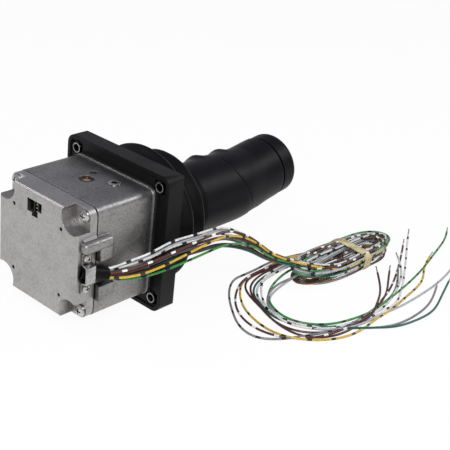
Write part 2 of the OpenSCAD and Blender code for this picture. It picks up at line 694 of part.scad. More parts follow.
mounting_flange();
corner_nuts();
flange_screws();
housing();
cover_gasket();
rear_cover();
cover_screws();
cable_sleeve();
cable_clamp();
clamp_screws();
pivot_bushes();
stop_screw();
sensor_board();
board_parts();
board_screws();
service_socket();
socket_pins();
gimbal_yoke();
yoke_pins();
yoke_bushes();
yoke_spring();
lever_shaft();
cross_shaft();
shaft_clips();
lever_spring();
magnet_holder();
sensor_magnet();
bellows_lower();
bellows_upper();
bellows_ring();
ring_screws();
neck_clip();
grip_sleeve();
grip_head();
grip_nut();
grip_cap();
thumb_rocker();
rocker_pin();
rocker_switch();
wire_bundle();
wire_hank();
wire_tie();
wire_loop();
green_wire_tail();
banded_wire_tail();
grey_wire_tail();
teal_wire_tail();
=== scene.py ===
import bmesh
import bpy
import math
from mathutils import Matrix, Vector, noise


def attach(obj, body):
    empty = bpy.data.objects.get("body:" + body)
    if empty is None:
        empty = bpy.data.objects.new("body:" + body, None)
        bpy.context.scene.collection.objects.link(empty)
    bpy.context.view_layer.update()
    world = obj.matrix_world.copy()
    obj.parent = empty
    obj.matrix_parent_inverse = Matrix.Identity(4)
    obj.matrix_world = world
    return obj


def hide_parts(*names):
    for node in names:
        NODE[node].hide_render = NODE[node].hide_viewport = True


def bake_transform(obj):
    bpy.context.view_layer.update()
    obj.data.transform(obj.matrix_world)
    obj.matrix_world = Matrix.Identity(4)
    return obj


# An industrial joystick lies on a white floor. Lengths are millimetres in the row frame: +X along the
# lever, +Z up, and the wires on the -Y side. MM turns them into Blender's metres. Materials and the
# light use metres.
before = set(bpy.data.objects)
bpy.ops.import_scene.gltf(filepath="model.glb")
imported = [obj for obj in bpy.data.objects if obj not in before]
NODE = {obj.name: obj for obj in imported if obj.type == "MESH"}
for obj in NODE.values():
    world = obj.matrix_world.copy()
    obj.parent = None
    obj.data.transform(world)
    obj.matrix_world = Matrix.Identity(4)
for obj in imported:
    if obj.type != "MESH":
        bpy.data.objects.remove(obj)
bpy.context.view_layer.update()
scene = bpy.context.scene
scene.view_settings.view_transform = "Standard"
MM = 0.001
UP = Vector((0, 0, 1))

# ---------------------------------------------------------------- camera
LENS = 80.88
CAMERA_AT = Vector((-0.4114, -0.4315, 0.2910))
RIGHT = Vector((0.6681, -0.7369, 0.1029)).normalized()
FORWARD = Vector((0.6972, 0.5717, -0.4325)).normalized()


def set_camera():
    """The camera looks down on the cover's corner and is rolled a little."""
    data = bpy.data.cameras.new("camera")
    data.sensor_width = 36
    data.lens = LENS
    data.clip_start = 0.01
    data.dof.use_dof = False
    camera = bpy.data.objects.new("camera", data)
    scene.collection.objects.link(camera)
    ahead = (FORWARD - RIGHT * FORWARD.dot(RIGHT)).normalized()
    turned = Matrix((RIGHT, RIGHT.cross(ahead), -ahead)).transposed()
    camera.matrix_world = Matrix.Translation(CAMERA_AT) @ turned.to_4x4()
    scene.camera = camera


set_camera()


# ---------------------------------------------------------------- sizes from the frame
def corners(name):
    """The lowest and the highest corner of a CAD piece."""
    piece = NODE[name]
    seen = [piece.matrix_world @ Vector(corner) / MM for corner in piece.bound_box]
    low = Vector([round(min(p[axis] for p in seen), 3) for axis in range(3)])
    high = Vector([round(max(p[axis] for p in seen), 3) for axis in range(3)])
    return low, high


FLOOR = corners("mounting_flange")[0].z
VALLEY = corners("bellows_upper")[0].x
GRIP_FOOT = corners("grip_sleeve")[0].x


# ---------------------------------------------------------------- small tools
def new_object(name, mesh):
    piece = bpy.data.objects.new(name, mesh)
    scene.collection.objects.link(piece)
    return piece


def mesh_from(name, verts, faces, smooth=True):
    mesh = bpy.data.meshes.new(name)
    mesh.from_pydata([(x * MM, y * MM, z * MM) for x, y, z in verts], [], faces)
    mesh.validate()
    mesh.update()
    if smooth:
        mesh.polygons.foreach_set("use_smooth", [True] * len(mesh.polygons))
    return mesh


def ring_faces(rings, sides, flipped=False):
    """Quads between rings of points, one ring after the other."""
    faces = []
    for ring in range(rings - 1):
        for k in range(sides):
            beside = (k + 1) % sides
            a, b = ring * sides + k, ring * sides + beside
            c, d = (ring + 1) * sides + beside, (ring + 1) * sides + k
            faces.append((a, d, c, b) if flipped else (a, b, c, d))
    return faces


def clamp(value, low=0.0, high=1.0):
    return min(high, max(low, value))


def eased(t):
    """Runs from 0 to 1 as t does, with a soft start and end."""
    return t * t * (3 - 2 * t)


def rounded_power(value, power):
    """A power that keeps the sign: it squares up a circle."""
    return math.copysign(abs(value) ** power, value)


def between_knots(a, b, c, d):
    """Points from b towards c on the centripetal Catmull-Rom curve through four points."""
    n = max(4, int((c - b).length / 0.8))
    t0 = 0
    t1 = t0 + max((b - a).length, 1e-4) ** 0.5
    t2 = t1 + max((c - b).length, 1e-4) ** 0.5
    t3 = t2 + max((d - c).length, 1e-4) ** 0.5
    for k in range(n):
        t = t1 + (t2 - t1) * k / n
        a1 = a * (t1 - t) / (t1 - t0) + b * (t - t0) / (t1 - t0)
        a2 = b * (t2 - t) / (t2 - t1) + c * (t - t1) / (t2 - t1)
        a3 = c * (t3 - t) / (t3 - t2) + d * (t - t2) / (t3 - t2)
        b1 = a1 * (t2 - t) / (t2 - t0) + a2 * (t - t0) / (t2 - t0)
        b2 = a2 * (t3 - t) / (t3 - t1) + a3 * (t - t1) / (t3 - t1)
        yield b1 * (t2 - t) / (t2 - t1) + b2 * (t - t1) / (t2 - t1)


def spline(points, step):
    """A smooth curve through points, with a point every step along it."""
    p = [Vector(q) for q in points]
    p = [p[0] * 2 - p[1]] + p + [p[-1] * 2 - p[-2]]
    dense = []
    for four in zip(p, p[1:], p[2:], p[3:]):
        dense += between_knots(*four)
    dense.append(p[-2])
    even, left = [dense[0]], step
    for a, b in zip(dense, dense[1:]):
        stretch = (b - a).length
        while stretch >= left and stretch > 0:
            a = a + (b - a) * (left / stretch)
            even.append(a)
            stretch = (b - a).length
            left = step
        left -= stretch
    if (even[-1] - dense[-1]).length > step * 0.3:
        even.append(dense[-1])
    return even


def relax(path, rounds):
    """Evens out a path by averaging each point with its neighbours. The ends stay."""
    for _ in range(rounds):
        inner = [(a + b * 2 + c) / 4 for a, b, c in zip(path, path[1:], path[2:])]
        path = [path[0]] + inner + [path[-1]]
    return path


def tube(name, path, radius, sides, tip, tip_radius):
    """A tube along path. Its last tip mm are thinner and have the second material.

    The UV's u is the length along it in metres, and v goes round. The length is returned with it.
    """
    ahead = [(b - a).normalized() for a, b in zip(path, path[1:])]
    ahead = [ahead[0]] + [(a + b).normalized() for a, b in zip(ahead, ahead[1:])] + [ahead[-1]]
    length = [0]
    for a, b in zip(path, path[1:]):
        length.append(length[-1] + (b - a).length)
    bare_from = length[-1] - tip
    verts = []
    across = ahead[0].orthogonal().normalized()
    for i, point in enumerate(path):
        across = (across - ahead[i] * across.dot(ahead[i])).normalized()
        other = ahead[i].cross(across)
        r = tip_radius if length[i] > bare_from else radius
        for k in range(sides):
            a = 2 * math.pi * k / sides
            verts.append(point + (across * math.cos(a) + other * math.sin(a)) * r)
    uv, materials = [], []
    for start, end in zip(length, length[1:]):
        for k in range(sides):
            low, high = k / sides, (k + 1) / sides
            uv += [(start * MM, low), (start * MM, high), (end * MM, high), (end * MM, low)]
            materials.append(1 if end > bare_from + 0.01 else 0)
    last_ring = (len(path) - 1) * sides
    ends = [tuple(range(sides - 1, -1, -1)), tuple(range(last_ring, last_ring + sides))]
    uv += [(0, 0)] * (2 * sides)
    materials += [0, 1]
    mesh = mesh_from(name, verts, ring_faces(len(path), sides) + ends)
    for loop, place in zip(mesh.uv_layers.new(name="along").data, uv):
        loop.uv = place
    mesh.polygons.foreach_set("material_index", materials)
    mesh.update()
    return new_object(name, mesh), length[-1]


# ---------------------------------------------------------------- material tools
MIX_A, MIX_B, MIX_RESULT = 6, 7, 2    # the colour sockets of a Mix node
WHITE = (1, 1, 1)
BLACK = (0, 0, 0)


def new_material(name):
    m = bpy.data.materials.new(name)
    m.use_nodes = True
    tree = m.node_tree
    return m, tree.nodes, tree.links, tree.nodes["Principled BSDF"]


def add(nodes, kind, **sockets):
    node = nodes.new(kind)
    for socket, value in sockets.items():
        node.inputs[socket.replace("_", " ")].default_value = value
    return node


def add_math(nodes, links, operation, source, *values):
    node = nodes.new("ShaderNodeMath")
    node.operation = operation
    links.new(source, node.inputs[0])
    for place, value in enumerate(values, 1):
        node.inputs[place].default_value = value
    return node.outputs[0]


def noise_on(nodes, links, where, scale, detail, roughness=0.5):
    node = add(nodes, "ShaderNodeTexNoise", Scale=scale, Detail=detail, Roughness=roughness)
    links.new(where, node.inputs["Vector"])
    return node.outputs["Fac"]


def ramp(nodes, links, source, stops):
    """The colour that source picks out of stops, which are (position, colour)."""
    node = nodes.new("ShaderNodeValToRGB")
    elements = node.color_ramp.elements
    while len(elements) < len(stops):
        elements.new(0.5)
    for element, (position, color) in zip(elements, stops):
        element.position = position
        element.color = (*color, 1)
    links.new(source, node.inputs["Fac"])
    return node.outputs["Color"]


def multiply(nodes, links, under, layer):
    mix = nodes.new("ShaderNodeMix")
    mix.data_type = "RGBA"
    mix.blend_type = "MULTIPLY"
    mix.inputs["Factor"].default_value = 1.0
    links.new(under, mix.inputs[MIX_A])
    links.new(layer, mix.inputs[MIX_B])
    return mix.outputs[MIX_RESULT]


def bump(nodes, links, height, distance, normal=None, strength=1.0):
    node = add(nodes, "ShaderNodeBump", Strength=strength, Distance=distance)
    links.new(height, node.inputs["Height"])
    if normal is not None:
        links.new(normal, node.inputs["Normal"])
    return node.outputs["Normal"]


def grey(value):
    return (value,) * 3


def speckled(nodes, links, where, shown, depth):
    """Fine dust and larger stains over a colour."""
    dust = noise_on(nodes, links, where, 650.0, 5.0, 0.7)
    dust = ramp(nodes, links, dust, [(0.36, grey(1 - depth)), (0.52, WHITE)])
    stains = noise_on(nodes, links, where, 90.0, 8.0, 0.75)
    stains = ramp(nodes, links, stains, [(0.34, grey(1 - 0.8 * depth)), (0.48, WHITE)])
    return multiply(nodes, links, multiply(nodes, links, shown, dust), stains)


def paint_shade_in_corners(nodes, links, shown, depth):
    """Painted shade: the colour darkens in corners and along joints, where ambient occlusion finds them."""
    open_sky = add(nodes, "ShaderNodeAmbientOcclusion", Distance=0.006)
    open_sky.samples = 8
    painted_shade = ramp(nodes, links, open_sky.outputs["AO"], [(0.25, grey(1 - depth)), (0.85, WHITE)])
    return multiply(nodes, links, shown, painted_shade)


def scratched(nodes, links, where, normal, depth):
    """Two sets of fine streaks that cross."""
    for stretch in ((1, 14, 1), (12, 1.5, 10)):
        streaks = nodes.new("ShaderNodeMapping")
        streaks.inputs["Scale"].default_value = stretch
        streaks.inputs["Rotation"].default_value = (0.3, 0.9, stretch[1] * 0.1)
        links.new(where, streaks.inputs["Vector"])
        height = noise_on(nodes, links, streaks.outputs["Vector"], 110.0, 5.0, 0.75)
        normal = bump(nodes, links, height, depth, normal)
    return normal


def pitted(nodes, links, where, normal, depth):
    """The small holes of a casting."""
    cells = add(nodes, "ShaderNodeTexVoronoi", Scale=95.0)
    links.new(where, cells.inputs["Vector"])
    holes = ramp(nodes, links, cells.outputs["Distance"], [(0.03, BLACK), (0.13, WHITE)])
    return bump(nodes, links, holes, depth, normal)


def material(name, color, rough, metal=0.0, tint=0.12, grain=900, grain_h=0.00002, lump=60, lump_h=0.0,
             edge=0.0005, rough_var=0.1, spec=0.5, scratches=0.0, coat=0.0, pits=0.0, speckle=0.0,
             crevice_shade=0.0):
    """A procedural surface: tone and roughness drift, the grain is fine, and edges are rounded.

    tint is how far the tone drifts, over lumps of scale lump. grain_h, lump_h, scratches and pits are
    heights in metres, and edge is the radius of the rounded edges. speckle darkens with dust and stains,
    and crevice darkens the corners with painted shade.
    """
    m, nodes, links, surface = new_material(name)
    where = nodes.new("ShaderNodeTexCoord").outputs["Object"]
    drift = noise_on(nodes, links, where, lump, 6.0, 0.6)
    dark = tuple(c * (1 - 2 * tint) for c in color)
    light = tuple(min(1, c * (1 + tint)) for c in color)
    shown = ramp(nodes, links, drift, [(0.3, dark), (0.5, color), (0.72, light)])
    if speckle:
        shown = speckled(nodes, links, where, shown, speckle)
    # Painted shade: the colour is darkened where corners and recesses would be in shade.
    if crevice_shade:
        shown = paint_shade_in_corners(nodes, links, shown, crevice_shade)
    links.new(shown, surface.inputs["Base Color"])
    surface.inputs["Metallic"].default_value = metal
    surface.inputs["Specular IOR Level"].default_value = spec
    if coat:
        surface.inputs["Coat Weight"].default_value = coat
        surface.inputs["Coat Roughness"].default_value = 0.15
    worn = nodes.new("ShaderNodeMapRange")
    worn.inputs["To Min"].default_value = max(0.03, rough - rough_var)
    worn.inputs["To Max"].default_value = min(1, rough + rough_var)
    links.new(drift, worn.inputs["Value"])
    links.new(worn.outputs["Result"], surface.inputs["Roughness"])
    normal = None
    if edge:
        rounded = add(nodes, "ShaderNodeBevel", Radius=edge)
        rounded.samples = 4
        normal = rounded.outputs["Normal"]
    normal = bump(nodes, links, noise_on(nodes, links, where, grain, 3.0, 0.6), grain_h, normal)
    if lump_h:
        normal = bump(nodes, links, drift, lump_h, normal)
    if scratches:
        normal = scratched(nodes, links, where, normal, scratches)
    if pits:
        normal = pitted(nodes, links, where, normal, pits)
    links.new(normal, surface.inputs["Normal"])
    return m


# ---------------------------------------------------------------- materials
# On the metals, crevice paints shade into the corners and recesses; speckle is dust and stains.
M_CAST = material("die_cast_alloy", (0.345, 0.337, 0.332), 0.40, metal=1.0, grain=700, grain_h=0.00006,
                  lump=38, lump_h=0.0003, edge=0.0009, rough_var=0.12, scratches=0.00005, pits=0.00012,
                  speckle=0.35, crevice_shade=0.6)
M_COVER = material("cover_alloy", (0.445, 0.43, 0.425), 0.42, metal=1.0, tint=0.07, grain=1300,
                   grain_h=0.00005, lump=30, lump_h=0.00015, edge=0.0007, scratches=0.00004,
                   speckle=0.22, crevice_shade=0.6)
M_FLANGE = material("black_moulding", (0.004, 0.004, 0.0044), 0.45, grain=1800, grain_h=0.00003, lump=70,
                    edge=0.0006, spec=0.13)
M_RUBBER = material("boot_rubber", (0.003, 0.003, 0.0033), 0.42, tint=0.2, grain=1500, grain_h=0.00003,
                    lump=45, lump_h=0.0002, edge=0.0, spec=0.10)
M_GRIP = material("grip_plastic", (0.004, 0.004, 0.0055), 0.42, tint=0.1, grain=2600, grain_h=0.000025,
                  lump=55, edge=0.0, rough_var=0.06, spec=0.10)
M_CAP = material("grip_cap_plastic", (0.004, 0.004, 0.0055), 0.42, tint=0.1, grain=2600,
                 grain_h=0.000025, lump=55, edge=0.0006, rough_var=0.06, spec=0.10)
M_ROCKER = material("rocker_plastic", (0.02, 0.02, 0.022), 0.42, grain=2200, grain_h=0.00003, spec=0.3)
M_PLATE = material("plated_steel", (0.62, 0.61, 0.60), 0.25, metal=1.0, grain=1500, lump=200,
                   edge=0.0003, scratches=0.00001, speckle=0.3, crevice_shade=0.8)
M_STEEL = material("turned_steel", (0.55, 0.56, 0.58), 0.28, metal=1.0, tint=0.08, edge=0.0003)
M_CLAMP = material("clamp_plate", (0.46, 0.455, 0.45), 0.30, metal=1.0, tint=0.2, grain=1500,
                   grain_h=0.00003, lump=160, scratches=0.00002, speckle=0.35, crevice_shade=0.7)
M_NUT = material("nut_plate", (0.36, 0.36, 0.36), 0.30, metal=1.0, tint=0.3, grain=1500, lump=300,
                 edge=0.0003, speckle=0.5, crevice_shade=0.8)
M_SPRING = material("spring_steel", (0.38, 0.39, 0.41), 0.3, metal=1.0, edge=0.0002)
M_BRONZE = material("bronze", (0.13, 0.065, 0.038), 0.36, metal=1.0, tint=0.2, lump=220, edge=0.0003)
M_BOARD = material("circuit_board", (0.02, 0.16, 0.07), 0.35, coat=0.3, lump=300, edge=0.0002)
M_PIN = material("contact_metal", (0.83, 0.66, 0.30), 0.22, metal=1.0, edge=0.0001)
M_MAGNET = material("magnet", (0.62, 0.62, 0.64), 0.2, metal=1.0)
M_GASKET = material("gasket", (0.01, 0.01, 0.01), 0.7, spec=0.2)
M_DARK = material("dark_plastic", (0.006, 0.006, 0.006), 0.5, spec=0.25)
M_TAPE = material("crepe_tape", (0.56, 0.49, 0.28), 0.85, tint=0.25, grain=800, grain_h=0.0003, lump=150,
                  edge=0.0)
M_COPPER = material("stripped_wire", (0.55, 0.55, 0.56), 0.35, metal=1.0, lump=900, edge=0.0)

PAINT = {
    "mounting_flange": M_FLANGE, "corner_nuts": M_NUT, "flange_screws": M_PLATE, "housing": M_CAST,
    "cover_gasket": M_GASKET, "rear_cover": M_COVER, "cover_screws": M_PLATE, "cable_sleeve": M_RUBBER,
    "cable_clamp": M_CLAMP, "clamp_screws": M_PLATE, "pivot_bushes": M_BRONZE, "stop_screw": M_PLATE,
    "sensor_board": M_BOARD, "board_parts": M_DARK, "board_screws": M_PLATE, "service_socket": M_DARK,
    "socket_pins": M_PIN, "gimbal_yoke": M_CAST, "yoke_pins": M_PLATE, "yoke_bushes": M_BRONZE,
    "yoke_spring": M_SPRING, "lever_shaft": M_STEEL, "cross_shaft": M_STEEL, "shaft_clips": M_SPRING,
    "lever_spring": M_SPRING, "magnet_holder": M_DARK, "sensor_magnet": M_MAGNET, "bellows_ring": M_FLANGE,
    "ring_screws": M_PLATE, "neck_clip": M_SPRING, "grip_sleeve": M_GRIP, "grip_head": M_GRIP,
    "grip_nut": M_PLATE, "grip_cap": M_CAP, "thumb_rocker": M_ROCKER, "rocker_pin": M_STEEL,
    "rocker_switch": M_DARK, "bellows_lower": M_RUBBER, "bellows_upper": M_RUBBER, "wire_tie": M_TAPE,
    "wire_bundle": M_DARK, "wire_hank": M_DARK, "wire_loop": M_DARK, "green_wire_tail": M_DARK,
    "banded_wire_tail": M_DARK, "grey_wire_tail": M_DARK, "teal_wire_tail": M_DARK,
}
for name, surface in PAINT.items():
    NODE[name].data.materials.clear()
    NODE[name].data.materials.append(surface)

# ---------------------------------------------------------------- wires
WIRE_R = 0.8
STRAND_R = 0.52       # the stripped end
STRIPPED = 6
LIES_AT = 0.82        # the height of a wire's middle over the floor
SLEEVE = Vector((-59.0, -36.1, -1.5))
SLEEVE_LEN = 19
ALONG = Vector((0.9327, -0.2326, -0.2756))
BAND_EVERY = 0.0165
BAND_SHARE = 0.2      # of that length, the share that has the band's colour

# The middle of the loom, from the sleeve to the hank.
LOOM = [Vector(point) for point in (
    (-41.5, -40.3, -6.7), (-37, -41.5, -7.4), (-29, -45, -7), (-14, -50.5, -4), (4, -53.5, -1),
    (22, -56, 1), (40, -58, 1), (57, -61, -5), (72, -64, -14), (85, -67, -24), (97, -71, -36))]
# The loom's wires lie on the outer side of this: the case, the flange and the bellows, which swing.
# Each row says up to which x it holds, and the y.
BESIDE = [(-18, -40.0), (16, -49.5), (50, -55.4), (math.inf, math.inf)]
# On the floor, the wires stay on the outer side of this line, which the grip sweeps along.
SWEEP = [(30, -36), (40, -39), (50, -43), (60, -46.5), (70, -49.5), (80, -51.8), (90, -53.5),
         (100, -54.0), (110, -55.2), (120, -58.0), (130, -60.0), (140, -62.2), (157, -62.2), (163, -45)]
SWEEP_TOP = -28
SWEEP_MARGIN = 0.2

HANK = Vector((153, -81.5))
HANK_TURN = math.radians(-3)
HANK_TURNS = 3.42
POINTS_A_TURN = 22

JET = (0.01, 0.01, 0.01)
CHALK = (0.75, 0.75, 0.74)
# Name, colour, the bands' colour, how far off the loom's middle, the angle there (up from the outer
# side), and the route on the floor: x, y.
WIRES = [
    ("grey_black", (0.20, 0.20, 0.21), JET, 0.2, 0, [
        (121, -38), (95, -40), (72, -48), (55, -59), (39, -77), (29, -92), (27, -106), (33, -114),
        (41, -120), (55, -127), (72, -134), (90, -137), (110, -135), (126, -134), (145, -132),
        (160, -126), (176, -117), (186, -110)]),
    ("yellow_black", (0.60, 0.38, 0.03), JET, 2.3, -32, [
        (134, -43), (118, -37), (97, -39), (78, -49), (63, -62), (49, -78), (43, -92), (40, -104),
        (42, -118), (51, -130), (62, -138), (75, -143), (88, -145), (108, -143), (128, -143),
        (149, -140), (170, -137), (184, -133), (206, -121), (224, -116)]),
    ("maroon", (0.065, 0.016, 0.016), None, 1.3, -5, [
        (121, -44), (104, -41), (87, -45), (73, -56), (64, -69), (58, -85), (52, -100), (50, -113),
        (52, -124), (60, -133), (74, -139), (92, -140), (110, -139), (124, -133), (141, -125),
        (155, -115), (165, -104)]),
    ("brown_white", (0.085, 0.026, 0.02), CHALK, 2.3, 22, [
        (116, -42), (98, -42), (78, -50), (62, -60), (47, -72), (39, -84), (36, -96), (38, -110),
        (45, -122), (58, -132), (76, -137), (97, -138), (115, -136), (125, -133), (151, -126),
        (183, -112), (210, -98), (228, -88)]),
    ("teal", (0.008, 0.095, 0.07), None, 2.3, 215, [
        (117, -47), (103, -46), (85, -54), (68, -69), (61, -84), (56, -98), (59, -111), (71, -125),
        (83, -138), (97, -148), (110, -157), (129, -161), (151, -162), (176, -154), (201, -146)]),
    ("white_black", (0.74, 0.74, 0.73), JET, 2.3, 72, [
        (108, -46), (92, -52), (74, -70), (63, -85), (57, -100), (57, -113), (62, -122), (75, -132),
        (87, -136), (103, -139), (119, -139), (138, -140), (161, -130), (195, -111), (225, -93),
        (240, -84)]),
    ("green_black", (0.035, 0.25, 0.05), JET, 2.3, -78, [
        (113, -53), (96, -59), (81, -69), (70, -81), (62, -95), (61, -106), (66, -116), (73, -123),
        (83, -129), (97, -133), (115, -136), (137, -134), (161, -131), (193, -125), (230, -115),
        (261, -106), (277, -98)]),
    ("grey", (0.19, 0.195, 0.20), None, 2.3, 165, [
        (106, -62), (88, -67), (75, -75), (62, -88), (57, -102), (63, -114), (77, -130), (90, -143),
        (101, -151), (111, -156), (128, -158), (153, -156), (172, -150), (186, -144)]),
    ("light_grey", (0.40, 0.41, 0.42), None, 2.3, 118, [
        (122, -60), (99, -64), (81, -72), (68, -83), (58, -104), (61, -119), (73, -133), (93, -141),
        (115, -142), (136, -144), (159, -144), (192, -142), (222, -136), (238, -131)]),
    ("white_black_2", (0.62, 0.62, 0.61), JET, 1.3, 100, [
        (118, -49), (100, -50), (80, -60), (66, -75), (59, -92), (58, -106), (65, -120), (80, -132),
        (96, -136), (112, -138), (130, -137), (150, -131), (172, -122), (190, -110), (203, -97)]),
    ("brown", (0.07, 0.02, 0.014), None, 1.5, 240, [
        (119, -46), (101, -44), (84, -52), (70, -64), (61, -80), (54, -96), (52, -110), (58, -124),
        (70, -133), (88, -138), (107, -138), (126, -134), (146, -127), (163, -117), (178, -108)]),
]
# The solids that a wire is shown in place of.
REPLACED = {
    "grey_black": ("wire_bundle", "wire_hank", "wire_loop"),
    "green_black": ("green_wire_tail",),
    "white_black": ("banded_wire_tail",),
    "light_grey": ("grey_wire_tail",),
    "teal": ("teal_wire_tail",),
}


def wire_material(name, color, band, phase):
    """Insulation, with a band every so often along the wire where band has a colour."""
    m, nodes, links, surface = new_material(name)
    coord = nodes.new("ShaderNodeTexCoord")
    tone = noise_on(nodes, links, coord.outputs["Object"], 260.0, 4.0)
    dark = tuple(c * 0.78 for c in color)
    light = tuple(min(1, c * 1.1) for c in color)
    shown = ramp(nodes, links, tone, [(0.3, dark), (0.7, light)])
    if band:
        uv = nodes.new("ShaderNodeSeparateXYZ")
        links.new(coord.outputs["UV"], uv.inputs[0])
        along = add_math(nodes, links, "MULTIPLY_ADD", uv.outputs["X"], 1 / BAND_EVERY, phase)
        in_band = add_math(nodes, links, "LESS_THAN", add_math(nodes, links, "FRACT", along), BAND_SHARE)
        mix = nodes.new("ShaderNodeMix")
        mix.data_type = "RGBA"
        links.new(in_band, mix.inputs["Factor"])
        links.new(shown, mix.inputs[MIX_A])
        mix.inputs[MIX_B].default_value = (*band, 1)
        shown = mix.outputs[MIX_RESULT]
    links.new(shown, surface.inputs["Base Color"])
    surface.inputs["Roughness"].default_value = 0.33
    links.new(bump(nodes, links, tone, 0.00003, strength=0.5), surface.inputs["Normal"])
    return m


def in_sleeve(off, angle):
    """Points inside the sleeve. The last one is at its mouth."""
    side = ALONG.cross(UP).normalized()
    aside = side * math.cos(angle) + side.cross(ALONG) * math.sin(angle)
    return [SLEEVE + ALONG * reach + aside * off for reach in (12, 16, SLEEVE_LEN)]


def in_loom(off, angle, wire):
    """The loose run to the hank. The wires spread, and turn about each other a little."""
    points = []
    for k in range(1, len(LOOM) - 1):
        share = k / (len(LOOM) - 1)
        spread = off * (1 + 2.3 * math.sin(math.pi * min(1, share * 1.15)) ** 1.2) + 0.6 * share
        turn = angle + 1.2 * share + 0.9 * noise.noise(Vector((share * 2, wire * 2.3, 0)))
        ahead = (LOOM[k + 1] - LOOM[k - 1]).normalized()
        side = ahead.cross(UP).normalized()
        point = LOOM[k] + (side * math.cos(turn) + side.cross(ahead) * math.sin(turn)) * spread
        point.z = max(point.z, FLOOR + 1)
        point.y = min(point.y, next(y for end, y in BESIDE if point.x < end))
        points.append(point)
    return points


def on_hank(u, v, z):
    """A point u along and v across the hank, at height z."""
    x = HANK.x + u * math.cos(HANK_TURN) - v * math.sin(HANK_TURN)
    y = HANK.y + u * math.sin(HANK_TURN) + v * math.cos(HANK_TURN)
    return Vector((x, y, z))


def hank_point(turns, out, over, wire):
    """A point in the hank after so many turns. out and over are the wire's place among the others."""
    angle = -math.pi / 2 - 0.9 + turns * 2 * math.pi
    half_len = 48.0 + 5.0 * math.sin(turns * 1.7 + wire * 2.9) + out * 0.4
    half_w = 11.0 + 4.5 * math.sin(turns * 2.3 + wire * 1.7) + out * 0.5
    u = half_len * rounded_power(math.cos(angle), 0.8)
    v = half_w * rounded_power(math.sin(angle), 0.75)
    v *= 1 - 0.14 * math.exp(-((u - 10) / 12) ** 2)    # the tie pulls it in
    z = 7.3 + 5.0 * math.sin(turns * 1.1 + wire * 2.2) + over * 0.5
    return on_hank(u, v, FLOOR + clamp(z, 1.0, 13.3))


def in_hank(off, angle, wire):
    """The turns of the hank, in which the wires change places."""
    points = []
    steps = int(HANK_TURNS * POINTS_A_TURN)
    for k in range(2, steps + 1):
        turns = HANK_TURNS * k / steps
        swapped = angle + 1.4 * turns
        out = 1.3 * off * math.cos(swapped)
        over = 1.3 * off * math.sin(swapped)
        points.append(hank_point(turns, out, over, wire))
    return points


def on_floor(route, wire):
    """The loop on the floor: it comes down from the hank, crosses the other wires and ends free."""
    points = []
    for k, (x, y) in enumerate(route):
        if k < 6 and y > -85:
            # The hank lies further out than the routes begin, so they are drawn out to it.
            drawn = clamp((x - 70) / 35)
            x, y = x - 9 * drawn, y - 18 * drawn
        lift = 7.5 * math.exp(-(k / 1.6) ** 2) if k < 6 else 0
        crossing = 1.1 * (0.5 + 0.5 * math.sin(wire * 1.9 + k * 0.8))
        if not 1 < k < len(route) - 3:
            crossing *= 0.4
        points.append(Vector((x, y, FLOOR + 0.85 + lift + crossing)))
    points[-1].z = FLOOR + 2.2 + (wire % 3) * 1.8
    return points


def kept_clear(point):
    """The point on the floor or above it, and on the outer side of the grip's sweep."""
    x, y, z = point
    z = max(z, FLOOR + LIES_AT)
    for (x0, y0), (x1, y1) in zip(SWEEP, SWEEP[1:]):
        if x0 <= x <= x1 and z < SWEEP_TOP:
            y = min(y, y0 + (y1 - y0) * (x - x0) / (x1 - x0) - SWEEP_MARGIN)
            break
    return Vector((x, y, z))


for wire, (name, color, band, off, degrees, route) in enumerate(WIRES):
    angle = math.radians(degrees)
    points = in_sleeve(off, angle) + in_loom(off, angle, wire)
    points += in_hank(off, angle, wire) + on_floor(route, wire)
    path = relax([kept_clear(point) for point in relax(spline(points, 2.4), 14)], 3)
    cord, length = tube("wire_" + name, path, WIRE_R, sides=8, tip=STRIPPED, tip_radius=STRAND_R)
    cord.data.materials.append(wire_material("wire_" + name, color, band, wire * 0.37 % 1))
    cord.data.materials.append(M_COPPER)
    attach(cord, "base")
    if name in REPLACED:
        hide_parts(*REPLACED[name])

# ---------------------------------------------------------------- the crepe tie
TIE_AT = 6.4          # from the hank's middle to the tie's near edge
TIE_W = 7.4
TIE_HALF_W = 17.4
TIE_HALF_H = 7.1
TIE_SIDES = 96
TIE_RINGS = 23


def tie_point(share, k):
    """A point share of the way across the tape, k steps round the hank."""
    angle = 2 * math.pi * k / TIE_SIDES
    ring = share * (TIE_RINGS - 1)
    crease = 0.32 * math.sin(44 * angle + 2.6 * math.sin(ring * 0.55))
    crease += 0.25 * noise.noise(Vector((k * 0.5, ring * 0.5, 4)))
    proud = crease - 0.8 * (abs(share - 0.5) * 2) ** 6
    v = (TIE_HALF_W + 0.6 * math.sin(3 * angle + 1)) * rounded_power(math.cos(angle), 0.55)
    z = TIE_HALF_H * rounded_power(math.sin(angle), 0.6)
    u = TIE_AT + TIE_W * share + 0.45 * math.sin(2 * angle + 0.6) + 0.96 * math.sin(angle)
    if share in (0, 1):
        u += 0.5 * noise.noise(Vector((angle * 1.5, 0, share)))    # a torn edge
    height = FLOOR + TIE_HALF_H + 0.3 + z + math.sin(angle) * proud
    return on_hank(u, v + math.cos(angle) * proud, max(height, FLOOR + 0.05))


def make_tie():
    verts = [tie_point(ring / (TIE_RINGS - 1), k) for ring in range(TIE_RINGS) for k in range(TIE_SIDES)]
    tie = new_object("crepe_tie", mesh_from("crepe_tie", verts, ring_faces(TIE_RINGS, TIE_SIDES)))
    thick = tie.modifiers.new("thick", "SOLIDIFY")
    thick.thickness = 0.0007
    thick.offset = -1
    tie.data.materials.append(M_TAPE)
    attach(tie, "base")
    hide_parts("wire_tie")


make_tie()

# ---------------------------------------------------------------- bellows
BELLOWS_SIDES = 168
NECK_END = 56.6
